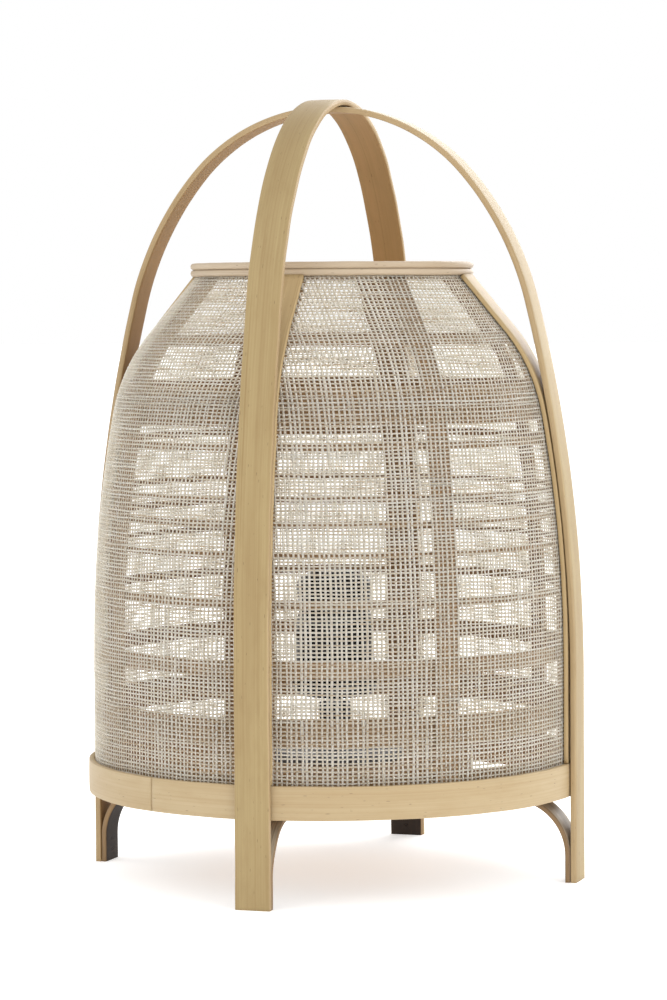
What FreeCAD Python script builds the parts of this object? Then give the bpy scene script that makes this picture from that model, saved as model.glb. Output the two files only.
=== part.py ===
import FreeCAD, Part
import math
import os
from FreeCAD import Vector

os.makedirs("parts", exist_ok=True)

# Bamboo and linen lantern lamp, in millimetres, +Z up, standing on its four feet at z = 0.
# Two bent straps cross over the top and run down to the floor as four legs. A hooped band
# joins the legs near the floor, and a cloth shade on a split-cane frame stands inside them.

# Hoops: the outer strap crosses over the other one at the top.
hoop_half_span = 212.0        # axis to the outer face of a leg
under_hoop_height = 639.0     # floor to the top of the lower hoop
strap_width = 29.0
strap_thickness = 5.0
leg_straight = 170.0          # floor to where a leg starts to bend in
crown_angle = 49.4            # degrees each side of the top
shoulder_radius = 259.0       # outer face
shoulder_angle = 26.8
crossing_gap = 0.11           # between the two curved straps, where they come nearest

# Knee braces: a bent strip from each foot to the underside of the floor slats.
brace_thickness = 4.5
brace_bend_radius = 44.0      # inner face of the bend
brace_inner_end = 112.0       # axis to the inner end of the brace
brace_gap = 0.3

# Band round the legs, and what stands inside it.
band_bottom = 71.0
band_height = 27.0
band_thickness = 5.0
band_leg_gap = 0.4
lap_start = 230.5             # degrees, the half-thickness lap of the band's two ends
lap_end = 242.5
lap_slit = 0.5

# Cloth shade: the cloth's inner face follows one outline from the rim down to the hem.
cloth_thickness = 0.8
cloth_band_gap = 0.4
seam_pin_gap = 0.02           # from a panel's edge to the highest pins that pass the seam
rim_seat_radius = 110.0       # top edge of the cloth
rim_drop = 137.5              # the cloth's top edge, below the top of the lower hoop
hem_lift = 1.0                # the cloth's hem, above the band's lower edge
slope_angle = 50.0            # degrees below level, straight upper part
shade_shoulder_radius = 142.0
shade_shoulder_angle = 29.6
shade_side_radius = 1100.0

# Cane rim round the mouth.
cane_radius = 2.8
cane_gap = 0.1
outer_cane_seat = 3.5         # along the cloth from its top edge
inner_cane_seat = 1.0
cane_to_cover = 0.4           # along the slope, between the outer canes and a cover strip
cane_to_upright = 1.7         # along the slope, between the inner canes and an upright

# Cover strips over the four seams, and the frame of uprights, laths and rings inside the cloth.
cover_thickness = 4.0
cover_gap = 0.2
cover_foot_gap = 0.4
upright_width = 20.0
upright_thickness = 3.5
upright_gap = 0.9
seam_lath_width = 29.0        # inside each seam, under its cover strip
seam_lath_clearance = 0.3     # from its corners to the cloth at the rim, which is roundest
ring_thickness = 2.5
ring_gap = 0.9
base_ring_height = 33.0
base_ring_thickness = 4.0
base_ring_lift = 0.5
# each ring of the frame: its name, where its middle divides the cloth's height, and its width
RINGS = (
    ("ring_low_wide", 0.154, 24.0),
    ("ring_low", 0.271, 14.0),
    ("ring_waist", 0.390, 8.0),
    ("ring_middle_lower", 0.479, 5.0),
    ("ring_middle", 0.536, 6.0),
    ("ring_middle_upper", 0.583, 5.0),
    ("ring_upper", 0.677, 6.0),
    ("ring_shoulder_wide", 0.752, 32.0),
    ("ring_neck", 0.872, 7.0),
)
PINNED_RINGS = ("ring_low_wide", "ring_middle", "ring_shoulder_wide")

# Floor slats, halved into each other, and the round board on them.
slat_thickness = 12.0
slat_end_gap = 0.3
halving_gap = 0.2
board_radius = 114.0
board_thickness = 12.0
board_round = 1.5
board_gap = 0.2

# Pins and screws.
pin_radius = 0.7
pin_fit = 0.05
pin_bite = 2.6
crossing_pin_place = 5.0      # each way from the middle, on a diagonal
brace_pin_heights = (9.0, 18.0)
slat_pin_inset = 14.5         # from a brace's inner end
screw_edge_distance = 30.0    # board screws, in from the board's edge
board_screw_radius = 1.7
board_screw_head = 3.4
board_screw_length = 20.0

# Lamp: plate, hollow nipple, screw lampholder and bulb.
plate_radius = 57.0
plate_height = 8.0
plate_wall = 1.2
plate_edge = 2.5
nipple_radius = 5.0
nipple_bore = 3.5
nipple_fit = 0.2
nipple_engagement = 4.5
nipple_tail = 2.0             # below the nut
nut_across_flats = 14.0
nut_height = 4.0
nut_gap = 0.2
grip_radius = 7.0
grip_height = 7.0
grip_overlap = 1.8            # over the nipple's end
cord_hole_radius = 2.9
holder_radius = 13.0
holder_wall = 1.8
holder_base_height = 11.0
holder_floor = 3.6
holder_gap = 0.2
collar_height = 3.2
collar_step = 0.9
skirt_height = 24.0
skirt_lip = 1.4
insulator_thickness = 4.0
insulator_sink = 1.0          # into the holder's base
insulator_hole = 1.5
shell_inner_radius = 7.15
shell_wall = 0.45
shell_height = 21.0
shell_gap = 0.1               # also round the small parts of the bulb's foot
contact_thickness = 0.5
contact_width = 3.0
terminal_size = 4.0
terminal_wall_distance = 2.0
terminal_screw_radius = 1.0
terminal_screw_length = 3.6
terminal_screw_stand = 1.6
cap_radius = 6.75
cap_root_radius = 6.35
cap_wall = 0.35
cap_pitch = 2.82              # thread pitch of a small screw cap
cap_turns = 6
cap_skirt_height = 9.0
cap_skirt_rise = 1.0
tip_radius = 2.3
tip_height = 1.1
foot_glass_heights = (1.5, 2.5)
bulb_clearance = 0.3
glass_wall = 1.2
neck_depth = 6.0              # of the glass inside the cap
stem_radius = 2.6
stem_height = 24.0
stem_flare_height = 8.0
stem_foot_depth = 5.0         # inside the cap
stem_gap = 0.3
filament_radius = 0.9
filament_length = 48.0
filament_gap = 2.0
filament_circle = 7.5
filament_count = 4

# Sizes that follow from the ones above.
rim_seat_height = under_hoop_height - rim_drop
leg_inner_face = hoop_half_span - strap_thickness
band_outer_radius = leg_inner_face - band_leg_gap
band_inner_radius = band_outer_radius - band_thickness
band_top = band_bottom + band_height
shade_radius = band_inner_radius - cloth_band_gap - cloth_thickness
hem_height = band_bottom + hem_lift
cover_inner = cloth_thickness + cover_gap
upright_inner = upright_gap + upright_thickness
seam_lath_gap = (rim_seat_radius - math.sqrt(rim_seat_radius ** 2 - (seam_lath_width / 2) ** 2)
                 + seam_lath_clearance)
ring_outer = upright_inner + ring_gap
base_ring_radius = shade_radius - ring_outer
slat_end_radius = base_ring_radius - base_ring_thickness - slat_end_gap
slat_half_length = math.sqrt(slat_end_radius ** 2 - (strap_width / 2) ** 2)
slat_bottom = band_bottom
slat_top = slat_bottom + slat_thickness
board_bottom = slat_top + board_gap
board_top = board_bottom + board_thickness
board_screw_circle = board_radius - screw_edge_distance
plate_bottom = board_top + board_gap
plate_top = plate_bottom + plate_height
holder_bottom = plate_top + holder_gap
skirt_bottom = holder_bottom + holder_base_height + collar_height
insulator_bottom = holder_bottom + holder_base_height - insulator_sink
insulator_top = insulator_bottom + insulator_thickness
contact_top = insulator_top + 3 * contact_thickness
tip_bottom = contact_top + bulb_clearance
cap_bottom = tip_bottom + tip_height
cap_top = cap_bottom + cap_turns * cap_pitch + cap_skirt_height

quarter_names = ("right", "back", "left", "front")
ORIGIN = Vector(0, 0, 0)
UP = Vector(0, 0, 1)


# ---- plain helpers ----

def xz(x, z):
    """Point of an outline, drawn in the XZ plane."""
    return Vector(x, 0, z)


def walk(start, heading, steps, inset=0.0):
    """Edges of a path of straight runs and right-hand bends, moved inset to its right.

    Each step is (radius, degrees) for a bend, or (None, length) for a straight run.
    """
    x, z = start
    turned = math.radians(heading)
    edges = []
    for radius, amount in steps:
        first = xz(x + inset * math.sin(turned), z - inset * math.cos(turned))
        if radius is None:
            x += amount * math.cos(turned)
            z += amount * math.sin(turned)
            last = xz(x + inset * math.sin(turned), z - inset * math.cos(turned))
            edges.append(Part.makeLine(first, last))
            continue
        centre_x = x + radius * math.sin(turned)
        centre_z = z - radius * math.cos(turned)
        half = turned - math.radians(amount) / 2
        turned -= math.radians(amount)
        reach = radius - inset
        middle = xz(centre_x - reach * math.sin(half), centre_z + reach * math.cos(half))
        last = xz(centre_x - reach * math.sin(turned), centre_z + reach * math.cos(turned))
        edges.append(Part.Arc(first, middle, last).toShape())
        x = centre_x - radius * math.sin(turned)
        z = centre_z + radius * math.cos(turned)
    return edges


def strip_face(start, heading, steps, near, far):
    """Flat face between two parallel copies of a path, at insets near and far."""
    one = Part.Wire(walk(start, heading, steps, near))
    two = Part.Wire(walk(start, heading, steps, far))
    closing = [Part.makeLine(one.OrderedVertexes[0].Point, two.OrderedVertexes[0].Point),
               Part.makeLine(one.OrderedVertexes[-1].Point, two.OrderedVertexes[-1].Point)]
    edges = one.Edges + two.Edges + closing
    return Part.Face(Part.Wire(Part.__sortEdges__(edges)))


def widen(face, width):
    """Extrude an XZ face by width, centred on the XZ plane."""
    face.translate(Vector(0, -width / 2, 0))
    return face.extrude(Vector(0, width, 0))


def turned_about_z(shape, degrees):
    copy = shape.copy()
    copy.rotate(ORIGIN, UP, degrees)
    return copy


def revolved(points):
    """Solid of revolution of a closed outline of (radius, height) points."""
    corners = [xz(r, z) for r, z in points]
    face = Part.Face(Part.makePolygon(corners + corners[:1]))
    return face.revolve(ORIGIN, UP, 360)


def tube(outer, inner, bottom, height):
    ring = Part.makeCylinder(outer, height, Vector(0, 0, bottom))
    return ring.cut(Part.makeCylinder(inner, height, Vector(0, 0, bottom)))


def rod(radius, start, direction, length):
    return Part.makeCylinder(radius, length, start, direction)


def save(name, shape):
    shape.exportStep("parts/%s.step" % name)


# ---- the shade's outline ----

side_angle = 90.0 - slope_angle - shade_shoulder_angle


def sine(degrees):
    return math.sin(math.radians(degrees))


def cosine(degrees):
    return math.cos(math.radians(degrees))


shoulder_start = slope_angle + shade_shoulder_angle
side_spread = shade_side_radius * (1 - sine(shoulder_start))
shoulder_spread = shade_shoulder_radius * (sine(shoulder_start) - sine(slope_angle))
slope_spread = shade_radius - side_spread - shoulder_spread - rim_seat_radius
slope_length = slope_spread / cosine(slope_angle)
slope_foot = rim_seat_height - slope_length * sine(slope_angle)
shoulder_foot = slope_foot - shade_shoulder_radius * (cosine(slope_angle) - cosine(shoulder_start))
side_foot = shoulder_foot - shade_side_radius * cosine(shoulder_start)


def shade_steps(skip, foot):
    """Steps of the shade's outline, starting skip along it and ending at height foot.

    A foot above the end of the side's bend stops the bend at that height.
    """
    steps = [(None, slope_length - skip), (shade_shoulder_radius, shade_shoulder_angle)]
    if foot < side_foot:
        return steps + [(shade_side_radius, side_angle), (None, side_foot - foot)]
    foot_angle = math.degrees(math.acos((foot - side_foot) / shade_side_radius))
    return steps + [(shade_side_radius, foot_angle - shoulder_start)]


def beside_slope(along, outward):
    """Point along the straight upper part, outward from the cloth's inner face."""
    return (rim_seat_radius + along * cosine(slope_angle) + outward * sine(slope_angle),
            rim_seat_height - along * sine(slope_angle) + outward * cosine(slope_angle))


def shade_radius_at(height, inset):
    """Radius of the shade's outline at a height, moved inset towards the axis."""
    side_centre = shade_radius - shade_side_radius
    shoulder_centre_x = (shade_radius - side_spread
                         - shade_shoulder_radius * sine(shoulder_start))
    shoulder_centre_z = shoulder_foot - shade_shoulder_radius * cosine(shoulder_start)
    if height < side_foot:
        return shade_radius - inset
    if height < shoulder_foot - inset * cosine(shoulder_start):
        reach = shade_side_radius - inset
        return side_centre + math.sqrt(reach ** 2 - (height - side_foot) ** 2)
    if height < slope_foot - inset * cosine(slope_angle):
        reach = shade_shoulder_radius - inset
        return shoulder_centre_x + math.sqrt(reach ** 2 - (height - shoulder_centre_z) ** 2)
    fall = rim_seat_height - height - inset * cosine(slope_angle)
    return rim_seat_radius - inset * sine(slope_angle) + fall / math.tan(math.radians(slope_angle))


def shade_strip(skip, foot, near, far, width):
    """Flat strip that follows the shade's outline, in the XZ plane at +X."""
    face = strip_face(beside_slope(skip, 0), -slope_angle, shade_steps(skip, foot), near, far)
    return widen(face, width)


# ---- hoops, legs and braces ----

def hoop_radii(height):
    """Outer radii of a hoop's crown and haunches, from its span and its rise over the legs.

    span = crown * sin(c) + shoulder run + haunch * (1 - sin(b))
    rise = crown * (1 - cos(c)) + shoulder drop + haunch * cos(b)
    where c is the crown's angle and b the crown's and a shoulder's together.
    """
    bent = crown_angle + shoulder_angle
    span = hoop_half_span - shoulder_radius * (sine(bent) - sine(crown_angle))
    rise = height - leg_straight - shoulder_radius * (cosine(crown_angle) - cosine(bent))
    share = (1 - sine(bent)) / cosine(bent)
    crown = (span - share * rise) / (sine(crown_angle) - share * (1 - cosine(crown_angle)))
    return crown, (rise - crown * (1 - cosine(crown_angle))) / cosine(bent)


def hoop(height):
    """Strap on edge across the XZ plane: legs, haunches, shoulders and a round crown."""
    crown_radius, haunch_radius = hoop_radii(height)
    leg = (None, leg_straight)
    haunch = (haunch_radius, 90.0 - crown_angle - shoulder_angle)
    shoulder = (shoulder_radius, shoulder_angle)
    crown = (crown_radius, 2 * crown_angle)
    steps = [leg, haunch, shoulder, crown, shoulder, haunch, leg]
    face = strip_face((-hoop_half_span, 0), 90, steps, 0, strap_thickness)
    return widen(face, strap_width)


def knee_brace():
    """Strip at +X from the floor up the leg, then bent in under the band and slats."""
    outer_face = leg_inner_face - brace_gap
    outer_bend = brace_bend_radius + brace_thickness
    rise = band_bottom - brace_gap - outer_bend
    run = outer_face - outer_bend - brace_inner_end
    steps = [(None, run), (outer_bend, 90), (None, rise)]
    face = strip_face((brace_inner_end, rise + outer_bend), 0, steps, 0, brace_thickness)
    return widen(face, strap_width)


def radial_pin(outer_end, inner_end, height, sideways=0.0):
    """Pin along X at +X, from one radius to another."""
    return rod(pin_radius, Vector(inner_end, sideways, height), Vector(1, 0, 0),
               outer_end - inner_end)


def four_round(shapes):
    """The same pieces at the four legs, as one group of separate solids."""
    return [turned_about_z(shape, 90 * k) for k in range(4) for shape in shapes]


def grown(pins):
    """Holes for a group of round pins: the same pins with the pin fit all round."""
    holes = []
    for pin in pins:
        holes.append(pin.makeOffsetShape(pin_fit, 0.01, join=2))
    return holes


pin_spread = strap_width / 4  # a pair of pins stands at the quarters of a strap
leg_pins = four_round([
    radial_pin(leg_inner_face + pin_bite, band_inner_radius, band_bottom + band_height / 2, side)
    for side in (-pin_spread, pin_spread)])
brace_pins = four_round([
    radial_pin(leg_inner_face + pin_bite, leg_inner_face - brace_gap - brace_thickness, height)
    for height in brace_pin_heights])
slat_pins = four_round([
    rod(pin_radius, Vector(brace_inner_end + slat_pin_inset, 0,
                           band_bottom - brace_gap - brace_thickness),
        UP, brace_thickness + brace_gap + slat_thickness / 2)])
under_crown = hoop_radii(under_hoop_height)[0] - strap_thickness
crossing_sag = under_crown - math.sqrt(under_crown ** 2 - (strap_width / 2) ** 2)
top_hoop_height = under_hoop_height + crossing_sag + crossing_gap + strap_thickness
crossing_pin_foot = under_hoop_height - strap_thickness
crossing_pins = [
    rod(pin_radius, Vector(place, place, crossing_pin_foot), UP,
        top_hoop_height - strap_thickness + pin_bite - crossing_pin_foot)
    for place in (-crossing_pin_place, crossing_pin_place)]
frame_holes = grown(leg_pins + brace_pins + slat_pins + crossing_pins)

under_hoop = hoop(under_hoop_height).cut(frame_holes)
top_hoop = turned_about_z(hoop(top_hoop_height), 90).cut(frame_holes)
save("under_hoop", under_hoop)
save("top_hoop", top_hoop)
for k, side_name in enumerate(quarter_names):
    save("knee_brace_" + side_name, turned_about_z(knee_brace(), 90 * k).cut(frame_holes))
save("hoop_pins", Part.makeCompound(leg_pins + brace_pins + slat_pins + crossing_pins))


# ---- band, with its two ends halved over each other ----

def sector(outer, inner, first, last):
    """Part of a ring between two angles, over the band's height."""
    corners = [xz(outer, band_bottom), xz(inner, band_bottom), xz(inner, band_top),
               xz(outer, band_top)]
    face = Part.Face(Part.makePolygon(corners + corners[:1]))
    return turned_about_z(face.revolve(ORIGIN, UP, last - first), first)


def band():
    whole = tube(band_outer_radius, band_inner_radius, band_bottom, band_height)
    middle = (band_outer_radius + band_inner_radius) / 2
    slit_angle = math.degrees(lap_slit / middle)
    outside_end = sector(band_outer_radius + 1, middle - lap_slit / 2, lap_end, lap_end + slit_angle)
    inside_end = sector(middle + lap_slit / 2, band_inner_radius - 1, lap_start - slit_angle, lap_start)
    between = sector(middle + lap_slit / 2, middle - lap_slit / 2, lap_start - slit_angle,
                     lap_end + slit_angle)
    return whole.cut([outside_end, inside_end, between]).cut(frame_holes)


save("base_band", band())


# ---- floor slats and board ----

screw_shank = Part.makeCylinder(board_screw_radius, board_screw_length,
                                Vector(board_screw_circle, 0, board_top - board_screw_length))
sink_depth = board_screw_head - board_screw_radius
screw_head = Part.makeCone(board_screw_radius, board_screw_head, sink_depth,
                           Vector(board_screw_circle, 0, board_top - sink_depth))
board_screws = four_round([screw_shank.fuse(screw_head).removeSplitter()])
screw_holes = grown(board_screws)
nipple_hole = Part.makeCylinder(nipple_radius + nipple_fit, plate_top - band_bottom + 2,
                                Vector(0, 0, band_bottom - 1))


def slat(upper):
    """Floor slat along X, halved at the middle so that the two slats lie level."""
    body = Part.makeBox(2 * slat_half_length, strap_width, slat_thickness,
                        Vector(-slat_half_length, -strap_width / 2, slat_bottom))
    notch_width = strap_width + 2 * halving_gap
    notch_bottom = slat_bottom if upper else slat_bottom + slat_thickness / 2 - halving_gap / 2
    notch = Part.makeBox(notch_width, strap_width, slat_thickness / 2 + halving_gap / 2,
                         Vector(-notch_width / 2, -strap_width / 2, notch_bottom))
    return body.cut(notch)


floor_cuts = grown(slat_pins) + screw_holes + [nipple_hole]
save("floor_slat_across", slat(False).cut(floor_cuts))
save("floor_slat_along", turned_about_z(slat(True), 90).cut(floor_cuts))
board = Part.makeCylinder(board_radius, board_thickness, Vector(0, 0, board_bottom))
board = board.makeFillet(board_round, [e for e in board.Edges if isinstance(e.Curve, Part.Circle)])
save("base_board", board.cut(screw_holes + [nipple_hole]))
save("board_screws", Part.makeCompound(board_screws))


# ---- shade frame: base ring, rings, uprights and seam laths ----

def frame_ring(low, high, inset, thickness):
    """Corners of a ring's section, which leans with the shade's outline."""
    return [(shade_radius_at(low, inset), low), (shade_radius_at(low, inset + thickness), low),
            (shade_radius_at(high, inset + thickness), high), (shade_radius_at(high, inset), high)]


ring_middles = {name: hem_height + share * (rim_seat_height - hem_height)
                for name, share, width in RINGS}
pin_heights = [ring_middles[name] for name in PINNED_RINGS]
strip_pins = four_round([
    radial_pin(shade_radius_at(z, -cover_inner) + cover_thickness / 2,
               shade_radius_at(z, ring_outer + ring_thickness), z) for z in pin_heights])
lattice_pins = [turned_about_z(pin, 45) for pin in four_round([
    radial_pin(shade_radius_at(z, upright_gap + upright_thickness / 2),
               shade_radius_at(z, ring_outer + ring_thickness), z) for z in pin_heights])]
shade_holes = grown(strip_pins + lattice_pins)

for name, share, width in RINGS:
    low = ring_middles[name] - width / 2
    ring = revolved(frame_ring(low, low + width, ring_outer, ring_thickness))
    save(name, ring.cut(shade_holes))
save("inner_base_ring", tube(base_ring_radius, base_ring_radius - base_ring_thickness,
                             band_bottom + base_ring_lift, base_ring_height))
upright_skip = inner_cane_seat + cane_radius + cane_to_upright
upright = shade_strip(upright_skip, hem_height, upright_gap, upright_inner, upright_width)
for k, side_name in enumerate(("right_back", "left_back", "left_front", "right_front")):
    save("upright_" + side_name, turned_about_z(upright, 45 + 90 * k).cut(shade_holes))
seam_lath = shade_strip(upright_skip, hem_height, seam_lath_gap, upright_inner, seam_lath_width)
for k, side_name in enumerate(quarter_names):
    save("seam_lath_" + side_name, turned_about_z(seam_lath, 90 * k).cut(shade_holes))
save("shade_pins", Part.makeCompound(strip_pins + lattice_pins))


# ---- cane rim, cloth panels and cover strips ----

def cane(place):
    return Part.makeTorus(place[0], cane_radius, Vector(0, 0, place[1]))


cane_step = 2 * cane_radius + cane_gap
lower_outer = beside_slope(outer_cane_seat, cloth_thickness + cane_gap + cane_radius)
upper_outer = (lower_outer[0], lower_outer[1] + cane_step)
upper_inner = (upper_outer[0] - cane_step, upper_outer[1])
lower_inner = beside_slope(inner_cane_seat, -cane_gap - cane_radius)
save("rim_cane_lower_outer", cane(lower_outer))
save("rim_cane_upper_outer", cane(upper_outer))
save("rim_cane_upper_inner", cane(upper_inner))
save("rim_cane_lower_inner", cane(lower_inner))

panel_face = strip_face(beside_slope(0, 0), -slope_angle, shade_steps(0, hem_height),
                        -cloth_thickness, 0)
seam_angle = math.degrees(2 * (pin_radius + seam_pin_gap) / shade_radius_at(max(pin_heights), 0))
panel = panel_face.revolve(ORIGIN, UP, 90 - seam_angle)
for k, side_name in enumerate(("right_back", "left_back", "left_front", "right_front")):
    save("cloth_" + side_name, turned_about_z(panel, 90 * k + seam_angle / 2))

cover_skip = outer_cane_seat + cane_radius + cane_to_cover
cover = shade_strip(cover_skip, band_top + cover_foot_gap, -cover_inner - cover_thickness,
                    -cover_inner, strap_width)
for k, side_name in enumerate(quarter_names):
    save("cover_strip_" + side_name, turned_about_z(cover, 90 * k).cut(shade_holes))


# ---- lamp plate, nipple and lampholder ----

def low_drum(radius, height, edge):
    """Drum on the board, with its upper edge rounded."""
    drum = Part.makeCylinder(radius, height, Vector(0, 0, plate_bottom))
    upper_edges = [e for e in drum.Edges if isinstance(e.Curve, Part.Circle)
                   and e.Curve.Center.z > plate_bottom + height / 2]
    return drum.makeFillet(edge, upper_edges)


plate = low_drum(plate_radius, plate_height, plate_edge)
plate_hollow = low_drum(plate_radius - plate_wall, plate_height - plate_wall,
                        plate_edge - plate_wall)
save("lamp_plate", plate.cut([plate_hollow, nipple_hole]))

nipple_top = holder_bottom + nipple_engagement
nut_top = slat_bottom - nut_gap
nipple_bottom = nut_top - nut_height - nipple_tail
save("nipple", tube(nipple_radius, nipple_bore, nipple_bottom, nipple_top - nipple_bottom))
corner_radius = nut_across_flats / 2 / cosine(30)
corners = [Vector(corner_radius * cosine(60 * k), corner_radius * sine(60 * k),
                  nut_top - nut_height) for k in range(7)]
nut = Part.Face(Part.makePolygon(corners)).extrude(Vector(0, 0, nut_height))
save("nipple_nut", nut.cut(Part.makeCylinder(nipple_radius + pin_fit, nut_height,
                                             Vector(0, 0, nut_top - nut_height))))
grip_top = nipple_bottom + grip_overlap
grip_bottom = grip_top - grip_height
grip_seat = nipple_radius + pin_fit
save("cord_grip", revolved([
    (cord_hole_radius, grip_bottom), (grip_radius, grip_bottom), (grip_radius, grip_top),
    (grip_seat, grip_top), (grip_seat, nipple_bottom - pin_fit),
    (cord_hole_radius, nipple_bottom - pin_fit)]))

bore_radius = holder_radius - holder_wall
save("holder_base", revolved([
    (nipple_radius + pin_fit, holder_bottom), (holder_radius, holder_bottom),
    (holder_radius, holder_bottom + holder_base_height),
    (bore_radius, holder_bottom + holder_base_height),
    (bore_radius, holder_bottom + holder_floor),
    (nipple_radius + pin_fit, holder_bottom + holder_floor)]))
collar_radius = holder_radius - collar_step
save("holder_skirt", revolved([
    (bore_radius, skirt_bottom - collar_height + holder_gap),
    (collar_radius, skirt_bottom - collar_height + holder_gap), (collar_radius, skirt_bottom),
    (holder_radius, skirt_bottom), (holder_radius, skirt_bottom + skirt_height),
    (bore_radius - skirt_lip, skirt_bottom + skirt_height),
    (bore_radius - skirt_lip, skirt_bottom + skirt_height - holder_wall),
    (bore_radius, skirt_bottom + skirt_height - holder_wall)]))
save("holder_insulator", tube(bore_radius - holder_gap, insulator_hole, insulator_bottom,
                              insulator_thickness))
save("screw_shell", tube(shell_inner_radius + shell_wall, shell_inner_radius,
                         insulator_top + shell_gap, shell_height))
contact = Part.makeBox(2 * tip_radius, contact_width, contact_thickness,
                       Vector(-tip_radius, -contact_width / 2, contact_top - contact_thickness))
contact_leg = Part.makeBox(contact_thickness, contact_width, contact_top - insulator_top,
                           Vector(-tip_radius, -contact_width / 2, insulator_top))
save("centre_contact", contact.fuse(contact_leg).removeSplitter())
terminal_place = bore_radius - terminal_wall_distance - terminal_size / 2
terminal_top = insulator_bottom - shell_gap
terminals = []
terminal_screws = []
for middle_x in (-terminal_place, terminal_place):
    block = Part.makeBox(terminal_size, terminal_size, terminal_size,
                         Vector(middle_x - terminal_size / 2, -terminal_size / 2,
                                terminal_top - terminal_size))
    screw = rod(terminal_screw_radius,
                Vector(middle_x, -terminal_size / 2 - terminal_screw_stand,
                       terminal_top - terminal_size / 2),
                Vector(0, 1, 0), terminal_screw_length)
    terminals.append(block.cut(grown([screw])))
    terminal_screws.append(screw)
save("terminal_blocks", Part.makeCompound(terminals))
save("terminal_screws", Part.makeCompound(terminal_screws))


# ---- bulb, which screws out of the holder ----

cap_bore = cap_root_radius - cap_wall


def bulb_cap():
    """Screw cap: ribs at the thread's pitch, then a plain skirt, as one thin cup."""
    outline = []
    for k in range(cap_turns):
        foot = cap_bottom + k * cap_pitch
        outline += [(cap_root_radius, foot), (cap_radius, foot + cap_pitch / 2)]
    skirt_foot = cap_bottom + cap_turns * cap_pitch
    outline += [(cap_root_radius, skirt_foot), (cap_radius, skirt_foot + cap_skirt_rise),
                (cap_radius, cap_top)]
    outline += [(cap_bore, cap_top), (cap_bore, cap_bottom)]
    return revolved(outline)


glass_foot = cap_top + bulb_clearance
# radius and height above the glass foot of the bulb's stepped barrel, foot to crown
GLASS_OUTLINE = ((24.0, 0.4), (33.4, 4.0), (36.0, 12.5), (35.2, 23.0), (33.3, 34.0), (33.0, 48.0),
                 (32.0, 62.0), (29.6, 76.0), (31.2, 87.0), (29.4, 99.0), (20.0, 104.4))
glass_height = 105.6


def glass_curve(inset):
    """Smooth outline from the neck to the crown on the axis, moved inset inwards."""
    neck = (cap_radius, 0.0)
    crown = (0.0, glass_height)
    points = [neck] + list(GLASS_OUTLINE) + [crown]
    moved = []
    for k in range(1, len(points) - 1):
        run_r = points[k + 1][0] - points[k - 1][0]
        run_z = points[k + 1][1] - points[k - 1][1]
        length = math.hypot(run_r, run_z)
        moved.append(xz(points[k][0] - inset * run_z / length,
                        glass_foot + points[k][1] + inset * run_r / length))
    ends = [xz(cap_radius - inset, glass_foot + inset)]
    top = [xz(0, glass_foot + glass_height - inset)]
    curve = Part.BSplineCurve()
    curve.interpolate(ends + moved + top, InitialTangent=Vector(1, 0, 0),
                      FinalTangent=Vector(-1, 0, 0))
    return curve.toShape()


def bulb_glass():
    outer = glass_curve(0)
    inner = glass_curve(glass_wall)
    neck_foot = cap_top - neck_depth
    neck_outer = cap_bore - shell_gap
    neck_inner = cap_radius - glass_wall
    outer_edges = [outer, Part.makeLine(xz(cap_radius, glass_foot), xz(neck_outer, glass_foot)),
                   Part.makeLine(xz(neck_outer, glass_foot), xz(neck_outer, neck_foot)),
                   Part.makeLine(xz(neck_outer, neck_foot), xz(neck_inner, neck_foot)),
                   Part.makeLine(xz(neck_inner, neck_foot), xz(neck_inner, glass_foot + glass_wall)),
                   inner,
                   Part.makeLine(xz(0, glass_foot + glass_height - glass_wall),
                                 xz(0, glass_foot + glass_height))]
    face = Part.Face(Part.Wire(Part.__sortEdges__(outer_edges)))
    return face.revolve(ORIGIN, UP, 360)


save("bulb_cap", bulb_cap())
foot_cone_top, foot_glass_top = [cap_bottom + height for height in foot_glass_heights]
foot_radius = cap_bore - shell_gap
save("bulb_insulator", revolved([
    (0, cap_bottom), (tip_radius, cap_bottom), (foot_radius, foot_cone_top),
    (foot_radius, foot_glass_top), (0, foot_glass_top)]))
save("bulb_tip", Part.makeCylinder(tip_radius, tip_height - shell_gap, Vector(0, 0, tip_bottom)))
save("bulb_glass", bulb_glass())
stem_foot = cap_top - stem_foot_depth
stem_flare = Part.makeCone(cap_radius - glass_wall - stem_gap, stem_radius, stem_flare_height,
                           Vector(0, 0, stem_foot))
stem_rod = Part.makeCylinder(stem_radius, stem_height - stem_flare_height,
                             Vector(0, 0, stem_foot + stem_flare_height))
save("bulb_stem", stem_flare.fuse(stem_rod).removeSplitter())
filament = rod(filament_radius, Vector(filament_circle, 0, stem_foot + stem_height + filament_gap),
               UP, filament_length)
save("bulb_filaments", Part.makeCompound([
    turned_about_z(filament, 45 + 360 * k / filament_count) for k in range(filament_count)]))
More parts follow.
